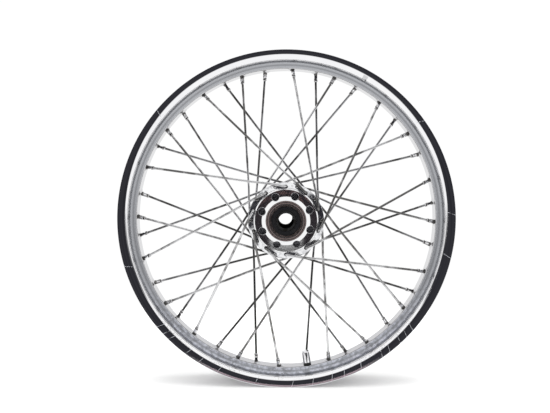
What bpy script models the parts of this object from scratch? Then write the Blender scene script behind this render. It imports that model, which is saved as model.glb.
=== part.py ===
"""Laced motorcycle front wheel, 21 x 2.15 inch.

A chromed drop-centre rim hangs on forty spokes from a flanged hub, which turns on two sealed ball
bearings with a spacer tube between them. A sealing band covers the nipple heads and a rubber valve
stands in the rim.

Metres, +Z up. The origin is the wheel's centre and the axle lies along Y. The front of the wheel
faces -Y and the brake-disc side faces +Y. Angles run anticlockwise from +X as seen from the front.
Outlines are lists of (radius, y) points.
"""

import math

import bmesh
import bpy
from mathutils import Matrix, Vector

# Rim
RIM_RADIUS = 0.2815  # bead seat radius 0.2675 and a flange of 0.014
RIM_HALF_WIDTH = 0.0340
BEAD_SEAT_RADIUS = 0.2675
BEAD_SEAT_HALF = 0.0262
RIM_WALL = 0.0022
WELL_RADIUS = 0.2550  # the surface that faces the hub
WELL_FLOOR_HALF = 0.0095
WELL_MOUTH_HALF = 0.0165
RIM_STEPS = 60

# Sealing band over the nipple heads
BAND_RADIUS = 0.2628
BAND_THICKNESS = 0.0018
BAND_HALF_WIDTH = 0.0098
BAND_VALVE_HOLE = 0.0054

# Lacing: ten groups of four spokes
GROUPS = 10
GROUP_STEP = math.radians(360 / GROUPS)
FIRST_GROUP = math.radians(74.7)
OUTER_NIPPLE_ANGLE = math.radians(12.76)  # from the middle of the group
INNER_NIPPLE_ANGLE = math.radians(3.74)
OUTER_SWEEP = math.radians(69.4)  # from a nipple to its hole in the hub
INNER_SWEEP = math.radians(73.1)
OUTER_NIPPLE_Y = 0.0050
INNER_NIPPLE_Y = 0.0030
OUTER_HOLE_RADIUS = 0.0558  # where the hole stands on the flange
INNER_HOLE_RADIUS = 0.0584
OUTER_BEND_Y = 0.0495  # where the spoke's line would meet the line of its head
INNER_BEND_Y = 0.0336
BEND_RADIUS = 0.0045
BEND_RINGS = 4

# Spoke and nipple; distances run outwards along the spoke from the surface of the well
SPOKE_RADIUS = 0.0019
SPOKE_SIDES = 6
SPOKE_HEAD_RADIUS = 0.0030
SPOKE_HEAD_LENGTH = 0.0021
NIPPLE_RADIUS = 0.00315
NIPPLE_HEAD_RADIUS = 0.0046
NIPPLE_NECK_END = 0.0032
NIPPLE_HEAD_START = 0.0044
NIPPLE_HEAD_END = 0.0056
NIPPLE_TOP = 0.0063
NIPPLE_TOP_RADIUS = 0.0030
NIPPLE_INNER_END = -0.0145
NIPPLE_TAPER = 0.0012
NIPPLE_HOLE_RADIUS = 0.0041
NIPPLE_SEAT_RADIUS = 0.0058
NIPPLE_SEAT_START = 0.0034

# Hub
HUB_HALF_LENGTH = 0.0580
HUB_BORE_RADIUS = 0.0200
BORE_CHAMFER_RADIUS = 0.0286
BOSS_INNER_RADIUS = 0.0302  # the flat at the hub's front end runs from here
BOSS_FACE_RADIUS = 0.0330  # to here, and a cone falls away from it
BOSS_RADIUS = 0.0396
BOSS_CONE_DEPTH = 0.0076
BARREL_RADIUS = 0.0350
BARREL_HALF_LENGTH = 0.0130
BELL_RADIUS = 0.0508
BELL_START = 0.0290
NECK_RADIUS = 0.0520
FLANGE_RADIUS = 0.0630
FLANGE_BACK = 0.0374  # distance of the flange's inner face from the wheel's centre plane
FLANGE_FALL = 0.0022  # how far the flange's outer face lies behind the collar, at the collar
FLANGE_EDGE = 0.0050  # the flange's thickness at its rim
RECESS_FLOOR = 0.0380
RECESS_OUTER_RADIUS = 0.0507
COLLAR_FACE = 0.0472
COLLAR_RADIUS = 0.0527
DISC_FACE = 0.0500
DISC_PILOT_RADIUS = 0.0283
HUB_STEPS = 40
FLANGE_HOLE_RADIUS = 0.00275
SLOT_HALF_WIDTH = 0.0037
SLOT_FLOOR = 0.0412
POCKETS = 8
POCKET_CIRCLE_RADIUS = 0.0420
POCKET_RADIUS = 0.0065
POCKET_DEPTH = 0.0080
FIRST_POCKET = math.radians(24.4)
DISC_BOLTS = 5
DISC_BOLT_CIRCLE_RADIUS = 0.041275
DISC_BOLT_HOLE_RADIUS = 0.0034
DISC_BOLT_DEPTH = 0.0140
FIRST_DISC_BOLT = math.radians(90)

# Bearings, 25 x 52 x 15 mm, and the spacer tube between their inner races
BEARING_BORE_RADIUS = 0.0125
BEARING_OUTER_RADIUS = 0.0260
BEARING_WIDTH = 0.0150
BEARING_CENTRE = 0.0475
INNER_RACE_SHOULDER = 0.0162
INNER_RACE_GROOVE = 0.0150
OUTER_RACE_SHOULDER = 0.0225
OUTER_RACE_GROOVE = 0.0235
SEAL_SEAT_RADIUS = 0.0243
SEAL_SEAT_DEPTH = 0.0018
SEAL_THICKNESS = 0.0010
SEAL_INSET = 0.0003
BALLS = 9
BALL_RADIUS = 0.0039
BALL_CIRCLE_RADIUS = 0.01925
CAGE_HALF_DEPTH = 0.0014
CAGE_HALF_WIDTH = 0.0014
SPACER_RADIUS = 0.0160
SPACER_BORE_RADIUS = 0.0128
BEARING_STEPS = 24
GAP = 0.0003  # between pieces that touch
BORE_GAP = 0.00045  # as GAP, round a bore whose flats come inside its corners

# Valve; distances run towards the hub from the surface of the well
VALVE_ANGLE = math.radians(278.5)
VALVE_Y = -0.0050
VALVE_HOLE_RADIUS = 0.0044
VALVE_SEAT_RADIUS = 0.0051
VALVE_SEAT_DEPTH = 0.0030
VALVE_BULB_RADIUS = 0.0047
VALVE_BULB_TOP = -0.0094
VALVE_BASE_RADIUS = 0.0066
VALVE_BASE_START = 0.0007  # clear of the flats between the rim's corners
VALVE_BASE_HEIGHT = 0.0042
VALVE_STEM_RADIUS = 0.0024
VALVE_STEM_BORE = 0.0017
VALVE_STEM_END = 0.0200
VALVE_THREAD_RADIUS = 0.0038
VALVE_THREAD_START = 0.0100
VALVE_CORE_RADIUS = 0.0014
VALVE_CORE_BORE = 0.0009
VALVE_CORE_START = 0.0090
VALVE_PIN_RADIUS = 0.0005
VALVE_PIN_START = 0.0060
VALVE_PIN_END = 0.0196
VALVE_CAP_RADIUS = 0.0069
VALVE_CAP_START = 0.0046
VALVE_CAP_END = 0.0242
VALVE_CAP_BORE = 0.0052
VALVE_CAP_THREAD_BORE = 0.0042
VALVE_CAP_CEILING = 0.0214
VALVE_STEPS = 16
SMALL_STEPS = 8
HOLE_STEPS = 10

FULL_TURN = 2 * math.pi
SMOOTH_ANGLE = math.radians(40)


def clear_scene():
    for obj in list(bpy.data.objects):
        bpy.data.objects.remove(obj)


def material(name, colour, roughness, metallic):
    made = bpy.data.materials.new(name)
    made.use_nodes = True
    shader = made.node_tree.nodes["Principled BSDF"]
    shader.inputs["Base Color"].default_value = (*colour, 1)
    shader.inputs["Roughness"].default_value = roughness
    shader.inputs["Metallic"].default_value = metallic
    return made


def empty(name, parent=None):
    made = bpy.data.objects.new(name, None)
    bpy.context.scene.collection.objects.link(made)
    made.parent = parent
    return made


def mesh_of(name, bm):
    bmesh.ops.recalc_face_normals(bm, faces=bm.faces)
    mesh = bpy.data.meshes.new(name)
    bm.to_mesh(mesh)
    bm.free()
    mesh.shade_smooth()
    mesh.set_sharp_from_angle(angle=SMOOTH_ANGLE)
    return mesh


def piece(name, mesh, finish, parent):
    made = bpy.data.objects.new(name, mesh)
    bpy.context.scene.collection.objects.link(made)
    if not mesh.materials:
        mesh.materials.append(finish)
    made.parent = parent
    return made


def cutter(name, bm, parent=None):
    made = bpy.data.objects.new(name, mesh_of(name, bm))
    bpy.context.scene.collection.objects.link(made)
    made.parent = parent
    made.hide_render = True
    made.display_type = "WIRE"
    return made


def boolean(target, tool, operation="DIFFERENCE"):
    modifier = target.modifiers.new(tool.name, "BOOLEAN")
    modifier.operation = operation
    modifier.object = tool


def turn_ring(bm, outline, steps):
    """A ring about +Y from a closed outline that stays clear of the axis."""
    points = [bm.verts.new((radius, y, 0)) for radius, y in outline]
    edges = [bm.edges.new(pair) for pair in zip(points, points[1:] + points[:1])]
    bmesh.ops.spin(
        bm, geom=points + edges, cent=(0, 0, 0), axis=(0, 1, 0), dvec=(0, 0, 0),
        angle=FULL_TURN, steps=steps, use_merge=True,
    )


def turn_solid(bm, outline, steps, place=None):
    """A solid about +Y from an outline whose two ends get flat caps, moved by a matrix."""
    rings = []
    for radius, y in outline:
        corners = []
        for step in range(steps):
            angle = FULL_TURN * step / steps
            point = Vector((radius * math.cos(angle), y, radius * math.sin(angle)))
            corners.append(bm.verts.new(place @ point if place else point))
        rings.append(corners)
    for low, high in zip(rings, rings[1:]):
        for k in range(steps):
            n = (k + 1) % steps
            bm.faces.new((low[k], low[n], high[n], high[k]))
    bm.faces.new(rings[0])
    bm.faces.new(rings[-1])


def ring_piece(name, outline, steps, finish, parent):
    bm = bmesh.new()
    turn_ring(bm, outline, steps)
    return piece(name, mesh_of(name, bm), finish, parent)


def mirrored(half):
    """A closed outline from the half with y < 0 and its mirror image."""
    return half + [(radius, -y) for radius, y in reversed(half)]


def on_wheel(radius, y, angle):
    return Vector((radius * math.cos(angle), y, radius * math.sin(angle)))


def along(start, direction):
    """The matrix that moves local +Y onto a direction from a start point."""
    turn = Vector((0, 1, 0)).rotation_difference(direction).to_matrix().to_4x4()
    return Matrix.Translation(start) @ turn


def rim_outline():
    hub_side = [
        (RIM_RADIUS - 0.0011, -RIM_HALF_WIDTH),
        (BEAD_SEAT_RADIUS + 0.0025, -RIM_HALF_WIDTH + 0.0028),
        (BEAD_SEAT_RADIUS - 0.0017, -BEAD_SEAT_HALF - 0.0013),
        (BEAD_SEAT_RADIUS - 0.0029, -WELL_MOUTH_HALF),
        (WELL_RADIUS + 0.0050, -WELL_FLOOR_HALF - 0.0036),
        (WELL_RADIUS, -WELL_FLOOR_HALF),
    ]
    tyre_side = [
        (WELL_RADIUS + RIM_WALL, -WELL_FLOOR_HALF + 0.0015),
        (WELL_RADIUS + 0.0068, -WELL_FLOOR_HALF - 0.0014),
        (BEAD_SEAT_RADIUS - 0.0007, -WELL_MOUTH_HALF + 0.0007),
        (BEAD_SEAT_RADIUS + 0.0003, -BEAD_SEAT_HALF),
        (BEAD_SEAT_RADIUS + 0.0035, -BEAD_SEAT_HALF - 0.0027),
        (RIM_RADIUS, -RIM_HALF_WIDTH + 0.0011),
    ]
    back_hub_side = [(radius, -y) for radius, y in reversed(hub_side)]
    back_tyre_side = [(radius, -y) for radius, y in reversed(tyre_side)]
    return hub_side + back_hub_side + back_tyre_side + tyre_side


class Spoke:
    """One spoke of the first group: its nipple end, its hole in the flange and its line.

    side is -1 at the front flange and +1 at the back. An outer spoke lies on the flange's outer
    face with its head inside; an inner spoke is the other way round.
    """

    def __init__(self, side, outer):
        self.side = side
        self.outer = outer
        spread = OUTER_NIPPLE_ANGLE if outer else INNER_NIPPLE_ANGLE
        sweep = OUTER_SWEEP if outer else INNER_SWEEP
        lean = side if outer else -side  # +1 where the angle grows towards the hub
        self.nipple_angle = FIRST_GROUP - lean * spread
        self.hole_angle = self.nipple_angle + lean * sweep
        nipple_y = side * (OUTER_NIPPLE_Y if outer else INNER_NIPPLE_Y)
        self.seat = on_wheel(WELL_RADIUS, nipple_y, self.nipple_angle)
        hole_radius = OUTER_HOLE_RADIUS if outer else INNER_HOLE_RADIUS
        self.hole = on_wheel(hole_radius, 0, self.hole_angle)
        bend_y = side * (OUTER_BEND_Y if outer else INNER_BEND_Y)
        self.bend = self.hole + Vector((0, bend_y, 0))
        self.outward = (self.seat - self.bend).normalized()
        self.headward = Vector((0, -side if outer else side, 0))
        if outer:
            head_y = FLANGE_BACK - GAP
        else:
            head_y = SLOT_FLOOR + GAP
        self.head = self.hole + Vector((0, side * head_y, 0))

    def path(self):
        """(point, radius) rings from the top of the nipple to the head."""
        nipple = (
            (NIPPLE_TOP, NIPPLE_TOP_RADIUS),
            (NIPPLE_HEAD_END, NIPPLE_HEAD_RADIUS),
            (NIPPLE_HEAD_START, NIPPLE_HEAD_RADIUS),
            (NIPPLE_NECK_END, NIPPLE_RADIUS),
            (NIPPLE_INNER_END + NIPPLE_TAPER, NIPPLE_RADIUS),
            (NIPPLE_INNER_END, SPOKE_RADIUS),
        )
        rings = [(self.seat + self.outward * s, radius) for s, radius in nipple]
        inward = -self.outward
        turn = inward.angle(self.headward)
        run = BEND_RADIUS * math.tan(turn / 2)
        start = self.bend - inward * run
        towards_centre = (self.headward - inward * self.headward.dot(inward)).normalized()
        centre = start + towards_centre * BEND_RADIUS
        axis = inward.cross(self.headward).normalized()
        for k in range(BEND_RINGS):
            spin = Matrix.Rotation(turn * k / (BEND_RINGS - 1), 3, axis)
            rings.append((centre + spin @ (start - centre), SPOKE_RADIUS))
        rings.append((self.head, SPOKE_RADIUS))
        rings.append((self.head, SPOKE_HEAD_RADIUS))
        rings.append((self.head + self.headward * SPOKE_HEAD_LENGTH, SPOKE_HEAD_RADIUS))
        return rings

    def ring_directions(self, rings):
        """The direction of the piece at each ring: halfway between its two runs."""
        directions = []
        for k, (point, _) in enumerate(rings):
            before = point - rings[k - 1][0] if k else Vector()
            after = rings[k + 1][0] - point if k + 1 < len(rings) else Vector()
            directions.append((before.normalized() + after.normalized()).normalized())
        return directions

    def mesh(self, name):
        rings = self.path()
        side_axis = self.outward.cross(self.headward).normalized()
        same_area = math.sqrt(FULL_TURN / (SPOKE_SIDES * math.sin(FULL_TURN / SPOKE_SIDES)))
        bm = bmesh.new()
        circles = []
        for (point, radius), direction in zip(rings, self.ring_directions(rings)):
            up = direction.cross(side_axis)
            circle = []
            for k in range(SPOKE_SIDES):
                angle = FULL_TURN * k / SPOKE_SIDES
                offset = side_axis * math.cos(angle) + up * math.sin(angle)
                circle.append(bm.verts.new(point + offset * radius * same_area))
            circles.append(circle)
        for low, high in zip(circles, circles[1:]):
            for k in range(SPOKE_SIDES):
                n = (k + 1) % SPOKE_SIDES
                bm.faces.new((low[k], low[n], high[n], high[k]))
        bm.faces.new(circles[0])
        bm.faces.new(circles[-1])
        return mesh_of(name, bm)


SPOKES = {
    "spoke_front_outer": Spoke(-1, True),
    "spoke_front_inner": Spoke(-1, False),
    "spoke_back_inner": Spoke(1, False),
    "spoke_back_outer": Spoke(1, True),
}


def group_turn(group):
    """Turns the first group onto another one."""
    return Matrix.Rotation(-GROUP_STEP * group, 4, "Y")


def make_spokes(finish, parent):
    for kind, spoke in SPOKES.items():
        mesh = spoke.mesh(kind)
        for group in range(GROUPS):
            made = piece(f"{kind}_{group + 1:02d}", mesh, finish, parent)
            made.rotation_euler.y = -GROUP_STEP * group


def valve_place():
    return along(on_wheel(WELL_RADIUS, VALVE_Y, VALVE_ANGLE), -on_wheel(1, 0, VALVE_ANGLE))


def make_rim(finish, parent):
    rim = ring_piece("rim", rim_outline(), RIM_STEPS, finish, parent)
    seat_cutter = [
        (NIPPLE_HOLE_RADIUS, -0.006),
        (NIPPLE_HOLE_RADIUS, NIPPLE_SEAT_START),
        (NIPPLE_SEAT_RADIUS, NIPPLE_SEAT_START),
        (NIPPLE_SEAT_RADIUS, 0.014),
    ]
    bm = bmesh.new()
    for spoke in SPOKES.values():
        place = along(spoke.seat, spoke.outward)
        for group in range(GROUPS):
            turn_solid(bm, seat_cutter, SMALL_STEPS, group_turn(group) @ place)
    boolean(rim, cutter("nipple_seats", bm, parent))
    bm = bmesh.new()
    valve_cutter = [
        (VALVE_SEAT_RADIUS, -0.014),
        (VALVE_SEAT_RADIUS, -VALVE_SEAT_DEPTH),
        (VALVE_HOLE_RADIUS, -VALVE_SEAT_DEPTH),
        (VALVE_HOLE_RADIUS, 0.006),
    ]
    turn_solid(bm, valve_cutter, VALVE_STEPS, valve_place())
    boolean(rim, cutter("valve_hole", bm, parent))


def make_band(finish, parent):
    low, high = BAND_RADIUS, BAND_RADIUS + BAND_THICKNESS
    half = [(high, -BAND_HALF_WIDTH), (low, -BAND_HALF_WIDTH)]
    band = ring_piece("rim_seal_band", mirrored(half), RIM_STEPS, finish, parent)
    bm = bmesh.new()
    hole = [(BAND_VALVE_HOLE, -0.016), (BAND_VALVE_HOLE, 0)]
    turn_solid(bm, hole, VALVE_STEPS, valve_place())
    boolean(band, cutter("band_valve_hole", bm, parent))


def hub_outline():
    bore = BEARING_OUTER_RADIUS + BORE_GAP
    shoulder = BEARING_CENTRE - BEARING_WIDTH / 2 - GAP
    flange = [
        (COLLAR_RADIUS + 0.0007, -COLLAR_FACE + FLANGE_FALL),
        (FLANGE_RADIUS - 0.0005, -FLANGE_BACK - FLANGE_EDGE),
        (FLANGE_RADIUS, -FLANGE_BACK - FLANGE_EDGE + 0.0009),
        (FLANGE_RADIUS, -FLANGE_BACK - 0.0010),
        (FLANGE_RADIUS - 0.0010, -FLANGE_BACK),
        (NECK_RADIUS, -FLANGE_BACK),
        (BELL_RADIUS + 0.0002, -FLANGE_BACK + 0.0018),
        (BELL_RADIUS, -BELL_START),
        (BARREL_RADIUS, -BARREL_HALF_LENGTH),
    ]
    front = [
        (HUB_BORE_RADIUS, -shoulder),
        (bore, -shoulder),
        (bore, -HUB_HALF_LENGTH + 0.0018),
        (BORE_CHAMFER_RADIUS, -HUB_HALF_LENGTH + 0.0012),
        (BOSS_INNER_RADIUS, -HUB_HALF_LENGTH),
        (BOSS_FACE_RADIUS, -HUB_HALF_LENGTH),
        (BOSS_RADIUS, -HUB_HALF_LENGTH + BOSS_CONE_DEPTH),
        (BOSS_RADIUS, -RECESS_FLOOR - 0.0012),
        (BOSS_RADIUS + 0.0010, -RECESS_FLOOR),
        (RECESS_OUTER_RADIUS, -RECESS_FLOOR),
        (RECESS_OUTER_RADIUS, -COLLAR_FACE + 0.0008),
        (RECESS_OUTER_RADIUS + 0.0007, -COLLAR_FACE),
        (COLLAR_RADIUS, -COLLAR_FACE),
    ]
    back = [
        (COLLAR_RADIUS, DISC_FACE),
        (DISC_PILOT_RADIUS + 0.0002, DISC_FACE),
        (DISC_PILOT_RADIUS, HUB_HALF_LENGTH - 0.0008),
        (DISC_PILOT_RADIUS - 0.0008, HUB_HALF_LENGTH),
        (bore + 0.0004, HUB_HALF_LENGTH),
        (bore, shoulder + BEARING_WIDTH + 0.0015),
        (bore, shoulder),
        (HUB_BORE_RADIUS, shoulder),
    ]
    back_flange = [(radius, -y) for radius, y in reversed(flange)]
    return front + flange + back_flange + back


def add_slot(bm, spoke):
    """A pocket in the flange's outer face, from an outer spoke's bend to the next inner head."""
    side = spoke.side
    lean = 1 if side < 0 else -1
    next_hole = on_wheel(INNER_HOLE_RADIUS, 0, spoke.hole_angle + lean * GROUP_STEP / 2)
    run = next_hole - spoke.hole
    ends = ((spoke.hole, math.pi), (next_hole, 0))
    corners = []
    for centre, turned_by in ends:
        for k in range(5):
            angle = turned_by - math.pi / 2 + math.pi * k / 4
            aim = math.atan2(run.z, run.x) + angle
            corners.append(centre + on_wheel(SLOT_HALF_WIDTH, 0, aim))
    low = [bm.verts.new((c.x, side * SLOT_FLOOR, c.z)) for c in corners]
    high = [bm.verts.new((c.x, side * (COLLAR_FACE + 0.004), c.z)) for c in corners]
    for k in range(len(corners)):
        n = (k + 1) % len(corners)
        bm.faces.new((low[k], low[n], high[n], high[k]))
    bm.faces.new(low)
    bm.faces.new(high)


def hole_row(name, count, first_angle, circle_radius, hole_radius, y_from, y_to, parent):
    bm = bmesh.new()
    for k in range(count):
        centre = on_wheel(circle_radius, 0, first_angle + FULL_TURN * k / count)
        ends = [(hole_radius, y_from), (hole_radius, y_to)]
        turn_solid(bm, ends, HOLE_STEPS, Matrix.Translation(centre))
    return cutter(name, bm, parent)


def make_hub(finish, parent):
    hub = ring_piece("hub", hub_outline(), HUB_STEPS, finish, parent)
    bm = bmesh.new()
    for spoke in SPOKES.values():
        ends = [(FLANGE_HOLE_RADIUS, spoke.side * 0.030), (FLANGE_HOLE_RADIUS, spoke.side * 0.052)]
        for group in range(GROUPS):
            place = group_turn(group) @ Matrix.Translation(spoke.hole)
            turn_solid(bm, ends, SPOKE_SIDES, place)
    boolean(hub, cutter("flange_holes", bm, parent))
    for kind in ("spoke_front_outer", "spoke_back_outer"):
        bm = bmesh.new()
        add_slot(bm, SPOKES[kind])
        source = bm.verts[:] + bm.edges[:] + bm.faces[:]
        for group in range(1, GROUPS):
            copy = bmesh.ops.duplicate(bm, geom=source)["geom"]
            copied = [item for item in copy if isinstance(item, bmesh.types.BMVert)]
            bmesh.ops.transform(bm, matrix=group_turn(group), verts=copied)
        boolean(hub, cutter(kind.replace("spoke", "slots"), bm, parent))
    pockets = hole_row(
        "pockets", POCKETS, FIRST_POCKET, POCKET_CIRCLE_RADIUS, POCKET_RADIUS,
        -HUB_HALF_LENGTH - 0.002, -RECESS_FLOOR + POCKET_DEPTH, parent,
    )
    boolean(hub, pockets)
    bolts = hole_row(
        "disc_bolt_holes", DISC_BOLTS, FIRST_DISC_BOLT, DISC_BOLT_CIRCLE_RADIUS,
        DISC_BOLT_HOLE_RADIUS, DISC_FACE - DISC_BOLT_DEPTH, DISC_FACE + 0.002, parent,
    )
    boolean(hub, bolts)


def moved(outline, y):
    return [(radius, y + offset) for radius, offset in outline]


def make_bearing(where, y, finishes, fixed, turning, ball_axis):
    half = BEARING_WIDTH / 2
    inner = [
        (BEARING_BORE_RADIUS, -half),
        (INNER_RACE_SHOULDER, -half),
        (INNER_RACE_SHOULDER, -half + 0.0026),
        (INNER_RACE_GROOVE, -half + 0.0034),
    ]
    inner_full = inner[1:] + [(radius, -o) for radius, o in reversed(inner[1:])]
    inner_full += [(BEARING_BORE_RADIUS, half), (BEARING_BORE_RADIUS, -half)]
    ring_piece(
        f"bearing_inner_race_{where}", moved(inner_full, y), BEARING_STEPS,
        finishes["bearing_steel"], fixed,
    )
    outer = [
        (BEARING_OUTER_RADIUS, -half),
        (SEAL_SEAT_RADIUS, -half),
        (SEAL_SEAT_RADIUS, -half + SEAL_SEAT_DEPTH),
        (OUTER_RACE_SHOULDER, -half + SEAL_SEAT_DEPTH),
        (OUTER_RACE_SHOULDER, -half + 0.0032),
        (OUTER_RACE_GROOVE, -half + 0.0040),
    ]
    ring_piece(
        f"bearing_outer_race_{where}", moved(mirrored(outer), y), BEARING_STEPS,
        finishes["bearing_steel"], turning,
    )
    seal_low = INNER_RACE_SHOULDER + BORE_GAP
    seal_high = SEAL_SEAT_RADIUS - BORE_GAP
    near = half - SEAL_INSET
    for label, sign in (("outer", -1), ("inner", 1)):
        direction = sign if y < 0 else -sign
        faces = sorted((y + direction * near, y + direction * (near - SEAL_THICKNESS)))
        outline = [
            (seal_low, faces[0]), (seal_high, faces[0]),
            (seal_high, faces[1]), (seal_low, faces[1]),
        ]
        ring_piece(
            f"bearing_{label}_seal_{where}", outline, BEARING_STEPS,
            finishes["seal_rubber"], turning,
        )
    cage = [
        (BALL_CIRCLE_RADIUS - CAGE_HALF_DEPTH, y - CAGE_HALF_WIDTH),
        (BALL_CIRCLE_RADIUS + CAGE_HALF_DEPTH, y - CAGE_HALF_WIDTH),
        (BALL_CIRCLE_RADIUS + CAGE_HALF_DEPTH, y + CAGE_HALF_WIDTH),
        (BALL_CIRCLE_RADIUS - CAGE_HALF_DEPTH, y + CAGE_HALF_WIDTH),
    ]
    balls = ring_piece(
        f"bearing_ball_set_{where}", cage, BEARING_STEPS + 3, finishes["bearing_steel"], ball_axis
    )
    bm = bmesh.new()
    for k in range(BALLS):
        centre = Matrix.Translation(on_wheel(BALL_CIRCLE_RADIUS, y, FULL_TURN * k / BALLS))
        bmesh.ops.create_uvsphere(
            bm, u_segments=SMALL_STEPS, v_segments=4, radius=BALL_RADIUS, matrix=centre
        )
    boolean(balls, cutter(f"balls_{where}", bm, ball_axis), "UNION")


def make_spacer(finish, parent):
    end = BEARING_CENTRE - BEARING_WIDTH / 2 - GAP
    half = [(SPACER_RADIUS, -end), (SPACER_BORE_RADIUS, -end)]
    ring_piece("axle_spacer_tube", mirrored(half), BEARING_STEPS, finish, parent)


def make_valve(finishes, wheel):
    """The valve's pieces, each turned about its own +Y, which points from the rim to the hub."""
    holder = empty("valve_frame", wheel)
    holder.matrix_local = valve_place()
    bore = VALVE_STEM_RADIUS + GAP
    rubber = [
        (bore, VALVE_BULB_TOP),
        (VALVE_BULB_RADIUS - 0.0012, VALVE_BULB_TOP),
        (VALVE_BULB_RADIUS, VALVE_BULB_TOP + 0.0020),
        (VALVE_BULB_RADIUS, -VALVE_SEAT_DEPTH - GAP),
        (VALVE_HOLE_RADIUS - 0.0006, -VALVE_SEAT_DEPTH),
        (VALVE_HOLE_RADIUS - 0.0006, VALVE_BASE_START),
        (VALVE_BASE_RADIUS, VALVE_BASE_START + 0.0001),
        (VALVE_BASE_RADIUS, 0.0020),
        (VALVE_BASE_RADIUS - 0.0008, VALVE_BASE_HEIGHT),
        (bore, VALVE_BASE_HEIGHT),
    ]
    ring_piece("valve_rubber_body", rubber, VALVE_STEPS, finishes["valve_rubber"], holder)
    stem = [
        (VALVE_STEM_BORE, VALVE_BULB_TOP + 0.0004),
        (VALVE_STEM_RADIUS, VALVE_BULB_TOP + 0.0004),
        (VALVE_STEM_RADIUS, VALVE_THREAD_START - 0.0010),
        (VALVE_THREAD_RADIUS, VALVE_THREAD_START),
        (VALVE_THREAD_RADIUS, VALVE_STEM_END),
        (VALVE_STEM_BORE, VALVE_STEM_END),
    ]
    ring_piece("valve_stem", stem, VALVE_STEPS, finishes["brass"], holder)
    core = [
        (VALVE_CORE_BORE, VALVE_CORE_START),
        (VALVE_CORE_RADIUS, VALVE_CORE_START),
        (VALVE_CORE_RADIUS, VALVE_STEM_END - 0.0012),
        (VALVE_CORE_BORE, VALVE_STEM_END - 0.0012),
    ]
    ring_piece("valve_core", core, SMALL_STEPS, finishes["brass"], holder)
    bm = bmesh.new()
    turn_solid(bm, [(VALVE_PIN_RADIUS, VALVE_PIN_START), (VALVE_PIN_RADIUS, VALVE_PIN_END)], 6)
    piece("valve_pin", mesh_of("valve_pin", bm), finishes["brass"], holder)
    cap = [
        (VALVE_CAP_RADIUS, VALVE_CAP_START),
        (VALVE_CAP_RADIUS, VALVE_CAP_END - 0.0014),
        (VALVE_CAP_RADIUS - 0.0020, VALVE_CAP_END),
    ]
    bm = bmesh.new()
    turn_solid(bm, cap, VALVE_STEPS)
    made = piece("valve_cap", mesh_of("valve_cap", bm), finishes["chrome"], holder)
    hollow = [
        (VALVE_CAP_BORE, VALVE_CAP_START - 0.0010),
        (VALVE_CAP_BORE, VALVE_THREAD_START),
        (VALVE_CAP_THREAD_BORE, VALVE_THREAD_START + 0.0010),
        (VALVE_CAP_THREAD_BORE, VALVE_CAP_CEILING),
    ]
    bm = bmesh.new()
    turn_solid(bm, hollow, VALVE_STEPS)
    boolean(made, cutter("valve_cap_hollow", bm, holder))


def main():
    clear_scene()
    finishes = {
        "chrome": material("chrome", (0.78, 0.79, 0.81), 0.12, 1.0),
        "spoke_chrome": material("spoke_chrome", (0.62, 0.63, 0.65), 0.22, 1.0),
        "hub_chrome": material("hub_chrome", (0.80, 0.80, 0.81), 0.15, 1.0),
        "bearing_steel": material("bearing_steel", (0.55, 0.55, 0.56), 0.28, 1.0),
        "seal_rubber": material("seal_rubber", (0.02, 0.02, 0.022), 0.55, 0.0),
        "band": material("band", (0.05, 0.05, 0.055), 0.6, 0.0),
        "spacer_steel": material("spacer_steel", (0.35, 0.34, 0.33), 0.45, 1.0),
        "valve_rubber": material("valve_rubber", (0.015, 0.015, 0.015), 0.6, 0.0),
        "brass": material("brass", (0.72, 0.55, 0.26), 0.3, 1.0),
    }
    axle = empty("axle")
    wheel = empty("wheel_axis", axle)
    make_rim(finishes["chrome"], wheel)
    make_band(finishes["band"], wheel)
    make_hub(finishes["hub_chrome"], wheel)
    make_spokes(finishes["spoke_chrome"], wheel)
    make_spacer(finishes["spacer_steel"], axle)
    for where, y in (("front", -BEARING_CENTRE), ("back", BEARING_CENTRE)):
        ball_axis = empty(f"ball_axis_{where}", axle)
        make_bearing(where, y, finishes, axle, wheel, ball_axis)
    make_valve(finishes, wheel)


main()
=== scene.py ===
"""The looks of a laced motorcycle wheel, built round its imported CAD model.

Metres, +Z up, the wheel's centre at the origin and the axle along Y. The front of the wheel faces -Y.
Outlines are lists of (radius, y) or, with a fillet, (radius, y, fillet radius).
"""

import math

import bmesh
import bpy
import numpy as np
from mathutils import Matrix, Vector

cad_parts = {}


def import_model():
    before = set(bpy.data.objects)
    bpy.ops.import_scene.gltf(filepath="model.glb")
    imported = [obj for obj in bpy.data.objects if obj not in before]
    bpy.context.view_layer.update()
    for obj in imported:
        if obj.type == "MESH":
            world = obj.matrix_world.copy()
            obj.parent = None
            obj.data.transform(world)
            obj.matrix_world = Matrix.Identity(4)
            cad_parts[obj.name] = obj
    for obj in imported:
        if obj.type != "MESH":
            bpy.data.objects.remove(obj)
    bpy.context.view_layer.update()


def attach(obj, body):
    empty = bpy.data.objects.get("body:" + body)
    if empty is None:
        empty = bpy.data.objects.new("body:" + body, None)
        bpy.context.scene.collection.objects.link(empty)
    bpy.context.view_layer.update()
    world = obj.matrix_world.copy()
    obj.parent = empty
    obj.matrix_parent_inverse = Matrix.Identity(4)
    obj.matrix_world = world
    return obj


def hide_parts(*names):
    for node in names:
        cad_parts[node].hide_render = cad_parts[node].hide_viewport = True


FULL_TURN = 2 * math.pi
GAP = 0.0003

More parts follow.
